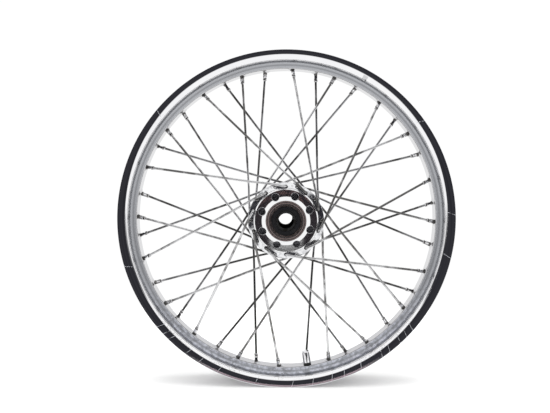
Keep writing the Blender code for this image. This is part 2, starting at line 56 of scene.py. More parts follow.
# Lacing
GROUPS = 10
GROUP_STEP = FULL_TURN / GROUPS
FIRST_GROUP = math.radians(74.7)
OUTER_NIPPLE_ANGLE = math.radians(12.76)
INNER_NIPPLE_ANGLE = math.radians(3.74)
OUTER_SWEEP = math.radians(69.4)
INNER_SWEEP = math.radians(73.1)
OUTER_NIPPLE_Y = 0.0050
INNER_NIPPLE_Y = 0.0030
OUTER_HOLE_RADIUS = 0.0558
INNER_HOLE_RADIUS = 0.0584
OUTER_BEND_Y = 0.0495
INNER_BEND_Y = 0.0336
BEND_RADIUS = 0.0045
SPOKE_RADIUS = 0.0019
SPOKE_HEAD_RADIUS = 0.0030
SPOKE_HEAD_LENGTH = 0.0021
NIPPLE_FLAT = 0.00268
SPOKE_BOW = 0.0011
SPOKE_BOW_LENGTH = 0.060
SPOKE_BOW_SCALE = 27 / 4  # brings the peak of u (1 - u)^2 to 1

# Rim
WELL_RADIUS = 0.2550
RIM_RADIUS = 0.2815
RIM_HALF_WIDTH = 0.0340
DIMPLE_HEIGHT = 0.0007
DIMPLE_FLAT = 0.0046
DIMPLE_RADIUS = 0.0092
NIPPLE_HOLE_RADIUS = 0.0041
LIP_WIDTH = 0.0115
LIP_CURVE = 18.5  # the lip falls away by this times the square of the distance from its edge
RIM_STEPS = 900
WELD_ANGLE = math.radians(61.0)
WELD_HEIGHT = 0.00035

# Hub
FLANGE_BACK = 0.0374
HEAD_SEAT = 0.0412
SLOT_FLOOR = 0.0404
COLLAR_FACE = 0.0472
HUB_HALF_LENGTH = 0.0580
BEARING_SEAT_RADIUS = 0.02645
SPOKE_HOLE_RADIUS = 0.0024
BOSS_FACE_RADIUS = 0.0330
BOSS_RADIUS = 0.0396
BOSS_CONE_DEPTH = 0.0060
SLOT_HALF_WIDTH = 0.0030
POCKETS = 8
POCKET_CIRCLE_RADIUS = 0.0420
POCKET_RADIUS = 0.0065
FIRST_POCKET = math.radians(24.4)
DISC_BOLTS = 5
DISC_BOLT_CIRCLE_RADIUS = 0.041275
DISC_BOLT_HOLE_RADIUS = 0.0034
FIRST_DISC_BOLT = math.radians(90)
DISC_FACE = 0.0500
HUB_STEPS = 240

# Bearings
BEARING_CENTRE = 0.0475
BEARING_HALF = 0.0075
BALLS = 9
BALL_RADIUS = 0.0039 * 0.97  # a little inside the CAD's balls
BALL_CIRCLE_RADIUS = 0.01925

# The dark part of the studio, as tangents of angles from the direction towards the camera
DARK_RISE = 0.13
DARK_HALF_HEIGHT = 0.45
DARK_HALF_WIDTH = 1.25
DARK_POWER = 3.5  # 2 would make it an ellipse, and more makes it squarer
FLOOR_BACK = 0.54

# Camera, with its turn in degrees
CAMERA_LENS = 33.24
CAMERA_PLACE = (-0.00881, -0.87585, 0.05167)
CAMERA_TURN = (88.04, 0, 0.63)

# Marks on the chrome
# How far the back half is mixed towards a darker grey.
BACK_DARKENING = 0.8
TICK_STRETCHES = 96
TICK_SLANT = 22.0  # stretches to a metre of radius
STAIN_RING_RADIUS = 0.0317
STAIN_RING_STEP = 0.0029

# Valve
VALVE_ANGLE = math.radians(278.5)
VALVE_Y = -0.0050
CAP_FLUTES = 8
FLUTE_DEPTH = 0.00055


# ---------------------------------------------------------------- meshes


def on_wheel(radius, y, angle):
    """A point from its radius, its place along the axle and its angle from +X towards +Z."""
    return Vector((radius * math.cos(angle), y, radius * math.sin(angle)))


def along(start, direction):
    """The matrix that moves local +Y onto a direction from a start point."""
    turn = Vector((0, 1, 0)).rotation_difference(direction).to_matrix().to_4x4()
    return Matrix.Translation(start) @ turn


def group_turn(group):
    return Matrix.Rotation(-GROUP_STEP * group, 4, "Y")


def around_axle(count, radius, first, y=0):
    """The places of equal things spread evenly on a circle about the axle."""
    return [Matrix.Translation(on_wheel(radius, y, first + FULL_TURN * k / count)) for k in range(count)]


def valve_place():
    return along(on_wheel(WELL_RADIUS, VALVE_Y, VALVE_ANGLE), -on_wheel(1, 0, VALVE_ANGLE))


def moved(solid, matrix):
    points, faces = solid
    return [matrix @ Vector(p) for p in points], faces


def rounded(corners, segments=4):
    """A closed outline with its corners rounded: each is (radius, y) or (radius, y, fillet)."""
    out = []
    count = len(corners)
    for k, corner in enumerate(corners):
        point = Vector(corner[:2])
        fillet = corner[2] if len(corner) > 2 else 0
        if fillet <= 0:
            out.append(tuple(point))
            continue
        before = Vector(corners[k - 1][:2]) - point
        after = Vector(corners[(k + 1) % count][:2]) - point
        inside = before.angle(after)
        if inside > math.pi - 0.03:
            out.append(tuple(point))
            continue
        run = min(fillet / math.tan(inside / 2), 0.49 * before.length, 0.49 * after.length)
        radius = run * math.tan(inside / 2)
        middle = (before.normalized() + after.normalized()).normalized()
        centre = point + middle * (radius / math.sin(inside / 2))
        start = point + before.normalized() * run - centre
        end = point + after.normalized() * run - centre
        first = math.atan2(start.y, start.x)
        sweep = math.atan2(end.y, end.x) - first
        sweep = (sweep + math.pi) % FULL_TURN - math.pi
        for step in range(segments + 1):
            angle = first + sweep * step / segments
            out.append((centre.x + radius * math.cos(angle), centre.y + radius * math.sin(angle)))
    return out


def divided(outline, longest):
    """The closed outline with every run cut into pieces no longer than a length."""
    out = []
    for k, point in enumerate(outline):
        start, end = Vector(point), Vector(outline[(k + 1) % len(outline)])
        pieces = max(1, math.ceil((end - start).length / longest))
        out += [tuple(start.lerp(end, n / pieces)) for n in range(pieces)]
    return out


def mesh_from(name, points, faces, smooth=35):
    mesh = bpy.data.meshes.new(name)
    mesh.from_pydata([tuple(p) for p in points], [], faces)
    bm = bmesh.new()
    bm.from_mesh(mesh)
    bmesh.ops.recalc_face_normals(bm, faces=bm.faces)
    bm.to_mesh(mesh)
    bm.free()
    mesh.shade_smooth()
    mesh.set_sharp_from_angle(angle=math.radians(smooth))
    return mesh


def lathe(outline, steps):
    """Points and faces of a closed outline turned about +Y."""
    outline = np.array(outline)
    angles = np.arange(steps) * FULL_TURN / steps
    ring = len(outline)
    x = np.outer(np.cos(angles), outline[:, 0])
    z = np.outer(np.sin(angles), outline[:, 0])
    y = np.tile(outline[:, 1], (steps, 1))
    points = np.stack([x, y, z], axis=2).reshape(-1, 3)
    faces = []
    for s in range(steps):
        n = (s + 1) % steps
        for k in range(ring):
            m = (k + 1) % ring
            faces.append((s * ring + k, s * ring + m, n * ring + m, n * ring + k))
    return points, faces


def loft(rings):
    """Points and faces of a solid through rings of equal count, with a cap at each end."""
    count = len(rings[0])
    points = [p for ring in rings for p in ring]
    faces = []
    for r in range(len(rings) - 1):
        for k in range(count):
            n = (k + 1) % count
            low, high = r * count, (r + 1) * count
            faces.append((low + k, low + n, high + n, high + k))
    faces.append(tuple(range(count)))
    faces.append(tuple(range((len(rings) - 1) * count, len(rings) * count)))
    return points, faces


def turned(outline, steps, place=None):
    """A solid about +Y from an open outline, capped flat at both ends."""
    rings = []
    for radius, y in outline:
        ring = [
            Vector((radius * math.cos(a), y, radius * math.sin(a)))
            for a in (FULL_TURN * k / steps for k in range(steps))
        ]
        rings.append([place @ p for p in ring] if place else ring)
    return loft(rings)


def add(name, mesh, body, finish, replaces=()):
    piece = bpy.data.objects.new(name, mesh)
    bpy.context.scene.collection.objects.link(piece)
    mesh.materials.clear()
    mesh.materials.append(finish)
    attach(piece, body)
    if replaces:
        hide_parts(*replaces)
    return piece


def flatten(piece):
    """Keeps the shading of large faces flat right up to their small fillets."""
    modifier = piece.modifiers.new("weighted", "WEIGHTED_NORMAL")
    modifier.keep_sharp = True
    return piece


def turned_ring(name, corners, steps, body, finish, replaces=(), place=None, segments=4):
    points, faces = lathe(rounded(corners, segments), steps)
    mesh = mesh_from(name, points, faces)
    if place:
        mesh.transform(place)
    return flatten(add(name, mesh, body, finish, replaces))


def mirrored(half):
    """A closed outline from the half with y < 0 and its mirror image."""
    return half + [(c[0], -c[1], *c[2:]) for c in reversed(half)]


def cutter(name, parts):
    """One mesh from several solids, for a Boolean."""
    points, faces = [], []
    for solid_points, solid_faces in parts:
        base = len(points)
        points += [tuple(p) for p in solid_points]
        faces += [tuple(base + k for k in face) for face in solid_faces]
    tool = bpy.data.objects.new(name, mesh_from(name, points, faces))
    bpy.context.scene.collection.objects.link(tool)
    return tool


def cut(piece, tool):
    """Cuts a tool out of a piece for good, and removes the tool."""
    modifier = piece.modifiers.new(tool.name, "BOOLEAN")
    modifier.operation = "DIFFERENCE"
    modifier.solver = "EXACT"
    modifier.object = tool
    bpy.context.view_layer.update()
    graph = bpy.context.evaluated_depsgraph_get()
    made = bpy.data.meshes.new_from_object(piece.evaluated_get(graph))
    piece.modifiers.clear()
    old = piece.data
    piece.data = made
    bpy.data.meshes.remove(old)
    bpy.data.objects.remove(tool)


# ---------------------------------------------------------------- materials


class Nodes:
    """A node tree, with helpers that add nodes to it. Lengths in masks are metres on the wheel."""

    def __init__(self, tree, coordinates):
        self.tree = tree
        self.vector = tree.nodes.new("ShaderNodeTexCoord").outputs[coordinates]

    def link(self, source, target):
        if isinstance(source, (int, float)):
            target.default_value = source
        elif isinstance(source, tuple):
            target.default_value = (*source, 1) if len(target.default_value) == 4 else source
        else:
            self.tree.links.new(source, target)

    def node(self, kind, given=None, **settings):
        """A new node with its settings, and with values or links given to its inputs."""
        node = self.tree.nodes.new(kind)
        for name, value in settings.items():
            setattr(node, name, value)
        for socket, value in (given or {}).items():
            self.link(value, node.inputs[socket])
        return node

    def math(self, operation, first, second=0.0):
        return self.node("ShaderNodeMath", {0: first, 1: second}, operation=operation).outputs[0]

    def times(self, first, *others):
        for other in others:
            first = self.math("MULTIPLY", first, other)
        return first

    def plus(self, first, *others):
        for other in others:
            first = self.math("ADD", first, other)
        return first

    def minus(self, first, second):
        return self.math("SUBTRACT", first, second)

    def size(self, value):
        return self.math("ABSOLUTE", value)

    def combine(self, x, y, z):
        return self.node("ShaderNodeCombineXYZ", {0: x, 1: y, 2: z}).outputs[0]

    def axes(self):
        return self.node("ShaderNodeSeparateXYZ", {0: self.vector}).outputs

    def angle(self):
        """The angle about the axle, in radians."""
        x, _, z = self.axes()
        return self.math("ARCTAN2", z, x)

    def radius(self):
        """The distance from the axle."""
        x, _, z = self.axes()
        return self.math("SQRT", self.plus(self.times(x, x), self.times(z, z)))

    def noise(self, scale, detail=3.0, rough=0.55, vector=None):
        given = {"Vector": vector or self.vector, "Scale": scale, "Detail": detail, "Roughness": rough}
        return self.node("ShaderNodeTexNoise", given).outputs["Fac"]

    def cells(self, scale):
        return self.node("ShaderNodeTexVoronoi", {"Vector": self.vector, "Scale": scale}).outputs["Distance"]

    def random(self, value):
        return self.node("ShaderNodeTexWhiteNoise", {"W": value}, noise_dimensions="1D").outputs["Value"]

    def ramp(self, value, low, high, to_low=0.0, to_high=1.0):
        """A smooth step from to_low, where the value is low, to to_high, where it is high."""
        given = dict(enumerate((value, low, high, to_low, to_high)))
        return self.node("ShaderNodeMapRange", given, interpolation_type="SMOOTHSTEP").outputs[0]

    def band(self, value, start, full, fade, end):
        """1 between full and fade, and 0 before start and after end."""
        return self.times(self.ramp(value, start, full), self.ramp(value, end, fade))

    def mix(self, share, first, second):
        return self.node("ShaderNodeMix", {"Factor": share, 6: first, 7: second}, data_type="RGBA").outputs[2]


class Finish(Nodes):
    """A material in the object's own coordinates."""

    def __init__(self, name, colour, metallic, roughness, shine=0.5):
        self.material = bpy.data.materials.new(name)
        self.material.use_nodes = True
        super().__init__(self.material.node_tree, "Object")
        self.shader = self.tree.nodes["Principled BSDF"]
        self.shader.inputs["Base Color"].default_value = (*colour, 1)
        self.shader.inputs["Metallic"].default_value = metallic
        self.shader.inputs["Roughness"].default_value = roughness
        self.shader.inputs["Specular IOR Level"].default_value = shine
        self.bumps = None

    def bump(self, height, depth, strength):
        given = {"Strength": strength, "Distance": depth, "Height": height}
        if self.bumps:
            given["Normal"] = self.bumps
        self.bumps = self.node("ShaderNodeBump", given).outputs[0]

    def done(self, colour, roughness=None, metallic=None):
        links = {"Base Color": colour, "Roughness": roughness, "Metallic": metallic, "Normal": self.bumps}
        for name, source in links.items():
            if source is not None:
                self.link(source, self.shader.inputs[name])
        return self.material


def rim_chrome():
    """Polished chrome with a stained wall, thin tyre-lever ticks on the lips, and pits."""
    f = Finish("rim chrome", (0.82, 0.82, 0.84), 1.0, 0.05)
    _, y, z = f.axes()
    angle, radius = f.angle(), f.radius()
    depth = f.size(y)
    low_down = f.ramp(z, -0.08, -0.20)
    blotch = f.noise(28, 4)
    colour = f.mix(blotch, (0.80, 0.80, 0.83), (0.90, 0.90, 0.90))
    # The well floor is grey, and painted shade makes it darker towards the bottom.
    in_well = f.ramp(radius, 0.2575, 0.2560)
    floor = f.mix(f.ramp(z, -0.10, -0.24), (0.60, 0.60, 0.61), (0.46, 0.46, 0.48))
    colour = f.mix(f.times(in_well, 0.9), colour, floor)
    # Darker grey towards the back.
    at_back = f.ramp(y, 0.020, 0.027)
    colour = f.mix(f.times(at_back, BACK_DARKENING), colour, (0.48, 0.48, 0.50))
    # The wall between the well and the bead seat is stained grey, with a darker line along it.
    reach = f.plus(depth, f.times(low_down, 0.0040))
    on_wall = f.times(f.ramp(reach, 0.0284, 0.0236), f.ramp(radius, 0.2556, 0.2566))
    mottled = f.mix(f.ramp(f.noise(170, 4, 0.6), 0.35, 0.65), (0.27, 0.28, 0.31), (0.58, 0.60, 0.67))
    stained = f.mix(low_down, (0.42, 0.43, 0.455), mottled)
    line = f.band(radius, 0.2588, 0.2596, 0.2610, 0.2622)
    stained = f.mix(f.times(line, 0.6), stained, (0.19, 0.195, 0.21))
    colour = f.mix(f.times(on_wall, 0.95), colour, stained)
    # Thin slanted ticks across the lips, at most one to a stretch and more of them low down.
    place = f.plus(f.times(angle, TICK_STRETCHES / FULL_TURN), f.times(radius, TICK_SLANT))
    stretch = f.math("FLOOR", place)
    centre = f.ramp(f.random(f.plus(stretch, 0.5)), 0.0, 1.0, 0.25, 0.75)
    from_centre = f.size(f.minus(f.math("FRACT", place), centre))
    empty_share = f.ramp(z, -0.22, -0.05, 0.35, 0.88)
    tick = f.times(
        f.ramp(from_centre, 0.034, 0.008),
        f.math("GREATER_THAN", f.random(stretch), empty_share),
        f.ramp(radius, 0.2675, 0.2700),
        f.ramp(f.noise(240, 2), 0.30, 0.52),
    )
    colour = f.mix(f.times(tick, 0.8), colour, (0.60, 0.62, 0.68))
    # Pits in patches, and a pink tint along the edge of the lip near the ground.
    patch = f.times(f.ramp(f.noise(16, 2), 0.50, 0.62), f.ramp(low_down, 0, 1, 0.35, 1.0))
    pit = f.times(f.ramp(f.cells(520), 0.34, 0.20), patch, f.ramp(radius, 0.2712, 0.2692))
    colour = f.mix(f.times(pit, 0.75), colour, (0.20, 0.17, 0.16))
    pink_edge = f.times(f.band(radius, 0.2765, 0.2785, 0.2795, 0.2803), f.ramp(z, -0.22, -0.26))
    colour = f.mix(f.times(pink_edge, 0.75), colour, (0.62, 0.40, 0.48))
    # A scuffed patch beside the weld, with a dark dot at its inner edge.
    from_weld = f.size(f.minus(angle, WELD_ANGLE))
    scuff = f.times(
        f.ramp(from_weld, 0.0165, 0.0140), f.ramp(depth, 0.0272, 0.0280), f.ramp(radius, 0.2725, 0.2715)
    )
    colour = f.mix(f.times(scuff, 0.9), colour, (0.56, 0.56, 0.57))
    from_dot = f.size(f.minus(f.plus(angle, 0.010), WELD_ANGLE))
    dot = f.times(f.ramp(from_dot, 0.0055, 0.0035), f.ramp(radius, 0.2672, 0.2664), scuff)
    colour = f.mix(dot, colour, (0.07, 0.07, 0.07))
    dulled = f.math("MAXIMUM", f.times(tick, 0.50), f.times(pink_edge, 0.4))
    rough = f.plus(
        f.ramp(blotch, 0.3, 0.7, 0.025, 0.06),
        f.times(tick, 0.40), f.times(pit, 0.35), f.times(pink_edge, 0.18), f.times(on_wall, 0.34),
    )
    f.bump(f.noise(65, 2), 0.0002, 0.10)
    f.bump(pit, -0.00010, 0.5)
    return f.done(colour, rough, f.minus(1.0, dulled))


def hub_chrome():
    """Chrome with brown rings round the bearing, a stained sunk ring and dull spots on the flanges."""
    f = Finish("hub chrome", (0.82, 0.82, 0.82), 1.0, 0.07)
    x, y, z = f.axes()
    angle, radius = f.angle(), f.radius()
    depth = f.size(y)
    haze = f.noise(55, 4, 0.6)
    colour = f.mix(haze, (0.90, 0.90, 0.90), (0.80, 0.80, 0.81))
    # Darker grey towards the back.
    at_back = f.ramp(y, 0.020, 0.030)
    colour = f.mix(f.times(at_back, BACK_DARKENING), colour, (0.50, 0.50, 0.52))
    # Brown stain on the end of the hub, in rings round the bearing.
    end = f.times(f.ramp(radius, 0.0330, 0.0326), f.ramp(depth, 0.0550, 0.0560))
    rings = f.math("COSINE", f.times(f.minus(radius, STAIN_RING_RADIUS), FULL_TURN / STAIN_RING_STEP))
    worn = f.mix(f.ramp(rings, -0.3, 0.9), (0.030, 0.026, 0.027), (0.24, 0.175, 0.165))
    colour = f.mix(f.times(end, 0.97), colour, worn)
    # Sunk ring between the boss and the collar: brown on top, dusty at the bottom.
    sunk = f.times(f.band(radius, 0.0396, 0.0400, 0.0505, 0.0509), f.ramp(depth, 0.0405, 0.0392))
    streak = f.noise(1.0, 3, 0.6, f.combine(f.times(angle, 2.2), 0.0, f.times(radius, 160.0)))
    browned = f.times(f.ramp(streak, 0.42, 0.60), f.ramp(z, 0.010, 0.042))
    colour = f.mix(sunk, colour, f.mix(browned, (0.076, 0.066, 0.075), (0.23, 0.15, 0.15)))
    dusty = f.times(f.ramp(z, -0.022, -0.036), f.ramp(f.size(x), 0.034, 0.020), sunk)
    colour = f.mix(dusty, colour, (0.55, 0.55, 0.55))
    # Flange outside the collar: smeared and spotted.
    flange = f.times(f.ramp(radius, 0.0532, 0.0536), f.ramp(depth, 0.0395, 0.0400))
    spots = f.times(flange, f.ramp(f.noise(230, 4, 0.65), 0.44, 0.62))
    colour = f.mix(f.times(flange, 0.5), colour, (0.80, 0.81, 0.83))
    colour = f.mix(f.times(spots, 0.38), colour, (0.34, 0.34, 0.37))
    # Slot floors and pockets are painted dark and made rougher, as painted shade in these recesses.
    slots = f.times(f.ramp(radius, 0.0520, 0.0523), f.band(depth, 0.0395, 0.0400, 0.0409, 0.0414))
    pockets = f.times(f.ramp(depth, 0.0372, 0.0345), f.band(radius, 0.0345, 0.0355, 0.0485, 0.0495))
    dark = f.math("MAXIMUM", slots, pockets)
    colour = f.mix(f.times(dark, 0.8), colour, (0.16, 0.16, 0.18))
    unplated = f.times(f.math("MAXIMUM", sunk, end), 0.70)
    rough = f.plus(
        f.ramp(haze, 0.3, 0.7, 0.03, 0.08),
        f.times(spots, 0.16), f.times(dark, 0.25), f.times(sunk, 0.06), f.times(dusty, 0.60),
    )
    ground = f.combine(0.0, f.times(y, 900.0), f.times(radius, 2600.0))
    f.bump(f.noise(1.0, 2, 0.5, ground), 0.00001, 0.12)
    f.bump(f.noise(120, 2), 0.0001, 0.08)
    return f.done(colour, rough, f.minus(1.0, unplated))


def spoke_chrome(name, clean, stained):
    """Aged chrome, dull and stained along the spoke."""
    f = Finish(name, clean, 1.0, 0.08)
    stain = f.noise(45, 4, 0.6)
    region = f.times(f.minus(f.noise(9, 1), 0.5), 1.1)
    colour = f.mix(f.ramp(f.plus(stain, region), 0.35, 0.62), clean, stained)
    rough = f.plus(f.ramp(stain, 0.3, 0.7, 0.05, 0.12), f.times(f.noise(900, 2), 0.05))
    f.bump(f.noise(500, 2), 0.00003, 0.15)
    return f.done(colour, rough)


def nipple_chrome():
    """Chrome with a painted shadow at the foot, a darker band at the shoulder, and bright between them."""
    f = Finish("nipple chrome", (0.60, 0.59, 0.60), 1.0, 0.12)
    radius = f.radius()
    stain = f.noise(260, 3, 0.6)
    colour = f.mix(f.ramp(stain, 0.40, 0.62), (0.92, 0.92, 0.93), (0.42, 0.41, 0.41))
    # Painted shadow at the foot, where the nipple sinks into the rim, and a darker band at the shoulder.
    foot = f.ramp(radius, 0.2500, 0.2518)
    shoulder = f.band(radius, 0.2428, 0.2434, 0.2447, 0.2455)
    foot_shadow_and_dark_shoulder = f.math("MAXIMUM", foot, shoulder)
    colour = f.mix(f.times(foot_shadow_and_dark_shoulder, 0.88), colour, (0.07, 0.065, 0.06))
    rough = f.plus(f.ramp(stain, 0.35, 0.7, 0.06, 0.22), f.times(foot_shadow_and_dark_shoulder, 0.25))
    f.bump(f.noise(700, 2), 0.00005, 0.2)
    return f.done(colour, rough)


def bearing_steel(name, colour, stained_colour, metallic=1.0, shine=0.5):
    """Steel ground round the axle, so that its scratches run in rings."""
    f = Finish(name, colour, metallic, 0.2, shine)
    _, y, _ = f.axes()
    rings = f.combine(f.times(f.angle(), 1.2), f.times(y, 2500.0), f.times(f.radius(), 4200.0))
    ground = f.noise(1.0, 2, 0.5, rings)
    stain = f.noise(190, 4, 0.6)
    mixed = f.mix(f.ramp(stain, 0.40, 0.66), colour, stained_colour)
    f.bump(ground, 0.00003, 0.35)
    return f.done(mixed, f.ramp(ground, 0.3, 0.7, 0.14, 0.34))


def rubber(name, colour, dust, scale, shine=0.4):
    """A dull dark surface with dust in patches."""
    f = Finish(name, colour, 0.0, 0.55, shine)
    grain = f.noise(scale, 4, 0.6)
    dusty = f.ramp(f.noise(scale / 12, 3), 0.48, 0.75)
    f.bump(grain, 0.00006, 0.4)
    return f.done(f.mix(f.times(dusty, 0.5), colour, dust), f.ramp(grain, 0.3, 0.7, 0.42, 0.68))


def brass():
    f = Finish("valve brass", (0.74, 0.56, 0.28), 1.0, 0.25)
    stain = f.noise(300, 4, 0.6)
    mixed = f.mix(f.ramp(stain, 0.4, 0.7), (0.76, 0.58, 0.30), (0.40, 0.27, 0.13))
    f.bump(f.noise(1200, 2), 0.00004, 0.3)
    return f.done(mixed, f.ramp(stain, 0.3, 0.7, 0.18, 0.40))


def lip_chrome():
    f = Finish("pocket lip chrome", (0.86, 0.86, 0.87), 1.0, 0.10)
    smear = f.noise(300, 3)
    f.bump(f.noise(600, 2), 0.00003, 0.15)
    return f.done(f.mix(smear, (0.90, 0.90, 0.91), (0.66, 0.66, 0.68)), f.ramp(smear, 0.3, 0.7, 0.06, 0.16))


def cap_chrome():
    """Bright chrome, darker in the grip flutes."""
    f = Finish("cap chrome", (0.80, 0.80, 0.82), 1.0, 0.08)
    x, y, z = f.axes()
    smear = f.noise(130, 3)
    mixed = f.mix(f.ramp(smear, 0.4, 0.7), (0.84, 0.84, 0.86), (0.60, 0.60, 0.62))
    across = f.plus(f.times(x, -math.sin(VALVE_ANGLE)), f.times(z, math.cos(VALVE_ANGLE)))
    around = f.math("ARCTAN2", f.minus(y, VALVE_Y), across)
    flute = f.ramp(f.math("COSINE", f.times(around, CAP_FLUTES)), 0.25, 0.70)
    side = f.band(f.radius(), 0.2325, 0.2335, 0.2490, 0.2500)
    mixed = f.mix(f.times(flute, side, 0.88), mixed, (0.045, 0.045, 0.05))
    f.bump(f.noise(600, 3), 0.00004, 0.25)
    return f.done(mixed, f.ramp(smear, 0.3, 0.7, 0.06, 0.16))


# ---------------------------------------------------------------- spokes and nipples


class Spoke:
    """One spoke of the first group. side is -1 at the front flange and +1 at the back."""

    def __init__(self, side, outer):
        self.side = side
        self.outer = outer
        spread = OUTER_NIPPLE_ANGLE if outer else INNER_NIPPLE_ANGLE
        sweep = OUTER_SWEEP if outer else INNER_SWEEP
        lean = side if outer else -side
        self.nipple_angle = FIRST_GROUP - lean * spread
        self.hole_angle = self.nipple_angle + lean * sweep
        self.nipple_y = side * (OUTER_NIPPLE_Y if outer else INNER_NIPPLE_Y)
        self.seat = on_wheel(WELL_RADIUS, self.nipple_y, self.nipple_angle)
        hole_radius = OUTER_HOLE_RADIUS if outer else INNER_HOLE_RADIUS
        self.hole = on_wheel(hole_radius, 0, self.hole_angle)
        bend_y = side * (OUTER_BEND_Y if outer else INNER_BEND_Y)
        self.bend = self.hole + Vector((0, bend_y, 0))
        self.outward = (self.seat - self.bend).normalized()
        self.headward = Vector((0, -side if outer else side, 0))
        head_y = FLANGE_BACK - GAP if outer else HEAD_SEAT + GAP
        self.head = self.hole + Vector((0, side * head_y, 0))

    def wire(self, sides=14, bend_rings=10, run_rings=28):
        """The spoke from inside its nipple to its domed head, with the slight bow near the hub."""
        inward = -self.outward
        turn = inward.angle(self.headward)
        run = BEND_RADIUS * math.tan(turn / 2)
        start = self.bend - inward * run
        top = self.seat + self.outward * 0.0040
        length = (top - start).length
        away = self.bend - Vector((0, self.bend.y, 0))
        away = (away - self.outward * away.dot(self.outward)).normalized()
        rings = []
        for k in range(run_rings):
            share = k / run_rings
            point = top.lerp(start, share)
            left = (1 - share) * length / SPOKE_BOW_LENGTH
            bow = SPOKE_BOW * SPOKE_BOW_SCALE * left * (1 - left) ** 2 if left < 1 else 0
            rings.append((point + away * bow, SPOKE_RADIUS))
        towards_centre = (self.headward - inward * self.headward.dot(inward)).normalized()
        centre = start + towards_centre * BEND_RADIUS
        axis = inward.cross(self.headward).normalized()
        for k in range(bend_rings):
            spin = Matrix.Rotation(turn * k / (bend_rings - 1), 3, axis)
            rings.append((centre + spin @ (start - centre), SPOKE_RADIUS))
        rings.append((self.head, SPOKE_RADIUS))
        rings.append((self.head, SPOKE_HEAD_RADIUS - 0.0003))
        rings.append((self.head + self.headward * 0.0003, SPOKE_HEAD_RADIUS))
        for k in range(1, 5):
            rise = math.radians(88) * k / 4
            radius = SPOKE_HEAD_RADIUS * math.cos(rise)
            lift = 0.0003 + (SPOKE_HEAD_LENGTH - 0.0003) * math.sin(rise)
            rings.append((self.head + self.headward * lift, radius))
        side_axis = self.outward.cross(self.headward).normalized()
        circles = []
        for k, (point, radius) in enumerate(rings):
            before = point - rings[k - 1][0] if k else Vector()
            after = rings[k + 1][0] - point if k + 1 < len(rings) else Vector()
            direction = before.normalized() + after.normalized()
            up = direction.normalized().cross(side_axis)
            circles.append([
                point + (side_axis * math.cos(a) + up * math.sin(a)) * radius
                for a in (FULL_TURN * n / sides for n in range(sides))
            ])
        return loft(circles)

    def nipple(self, sides=24):
        """A nipple: round neck in the rim, four spanner flats, a round collar at its inner end."""
        place = along(self.seat, self.outward)
        # Distance along the nipple, corner radius, and how square it is from 0 to 1.
        stations = (
            (0.0063, 0.0030, 0), (0.0061, 0.0040, 0), (0.0056, 0.0046, 0), (0.0044, 0.0046, 0),
            (0.0032, 0.00315, 0), (-0.0006, 0.00315, 0), (-0.0014, 0.00335, 0.7),
            (-0.0018, 0.00340, 1), (-0.0088, 0.00340, 1), (-0.0092, 0.00335, 0.7),
            (-0.0097, 0.00300, 0), (-0.0118, 0.00295, 0), (-0.0122, 0.00315, 0),
            (-0.0138, 0.00315, 0), (-0.0143, 0.00295, 0), (-0.0145, 0.00250, 0),
            (-0.0141, 0.00205, 0), (-0.0139, 0.00185, 0),
        )
        rings = []
        for distance, radius, square in stations:
            ring = []
            for k in range(sides):
                angle = FULL_TURN * k / sides
                flat = NIPPLE_FLAT / max(abs(math.cos(angle)), abs(math.sin(angle)))
                reach = radius + (min(radius, flat) - radius) * square
                ring.append(place @ Vector((reach * math.cos(angle), distance, reach * math.sin(angle))))
            rings.append(ring)
        return loft(rings)


SPOKES = {
    "front_outer": Spoke(-1, True),
    "front_inner": Spoke(-1, False),
    "back_inner": Spoke(1, False),
    "back_outer": Spoke(1, True),
}


def make_spokes(front_finish, back_finish, nipple_finish):
    for kind, spoke in SPOKES.items():
        wire_finish = front_finish if spoke.side < 0 else back_finish
        wire = mesh_from("wire", *spoke.wire())
        nipple = mesh_from("nipple", *spoke.nipple())
        for group in range(GROUPS):
            label = f"{kind}_{group + 1:02d}"
            for base, mesh, finish in (
                ("spoke_wire", wire, wire_finish),
                ("spoke_nipple", nipple, nipple_finish),
            ):
                copy = mesh.copy()
                copy.transform(group_turn(group))
                replaced = (f"spoke_{label}",) if base == "spoke_wire" else ()
                add(f"{base}_{label}", copy, "wheel", finish, replaced)
        bpy.data.meshes.remove(wire)
        bpy.data.meshes.remove(nipple)


# ---------------------------------------------------------------- rim


def rim_corners():
    lip = [LIP_WIDTH * k / 8 for k in range(1, 9)]
    hub_side = [
        (RIM_RADIUS, -RIM_HALF_WIDTH, 0.0007),
        *((RIM_RADIUS - d, -RIM_HALF_WIDTH + LIP_CURVE * d * d, 0) for d in lip),
        (0.2653, -0.0284, 0.0034),
        (0.2645, -0.0166, 0.0012),
        (0.2600, -0.0131, 0.0010),
        (WELL_RADIUS, -0.0097, 0.0026),
    ]
    tyre_side = [
        (0.2572, -0.0097, 0.0016),
        (0.2668, -0.0170, 0.0022),
        (0.2680, -0.0270, 0.0034),
        (RIM_RADIUS, -0.0316, 0.0009),
    ]
    hub_side += [(c[0], -c[1], c[2]) for c in reversed(hub_side)]
    back_tyre = [(c[0], -c[1], c[2]) for c in reversed(tyre_side)]
    return hub_side + back_tyre + tyre_side


def smooth_step(value):
    value = np.clip(value, 0, 1)
    return value * value * (3 - 2 * value)


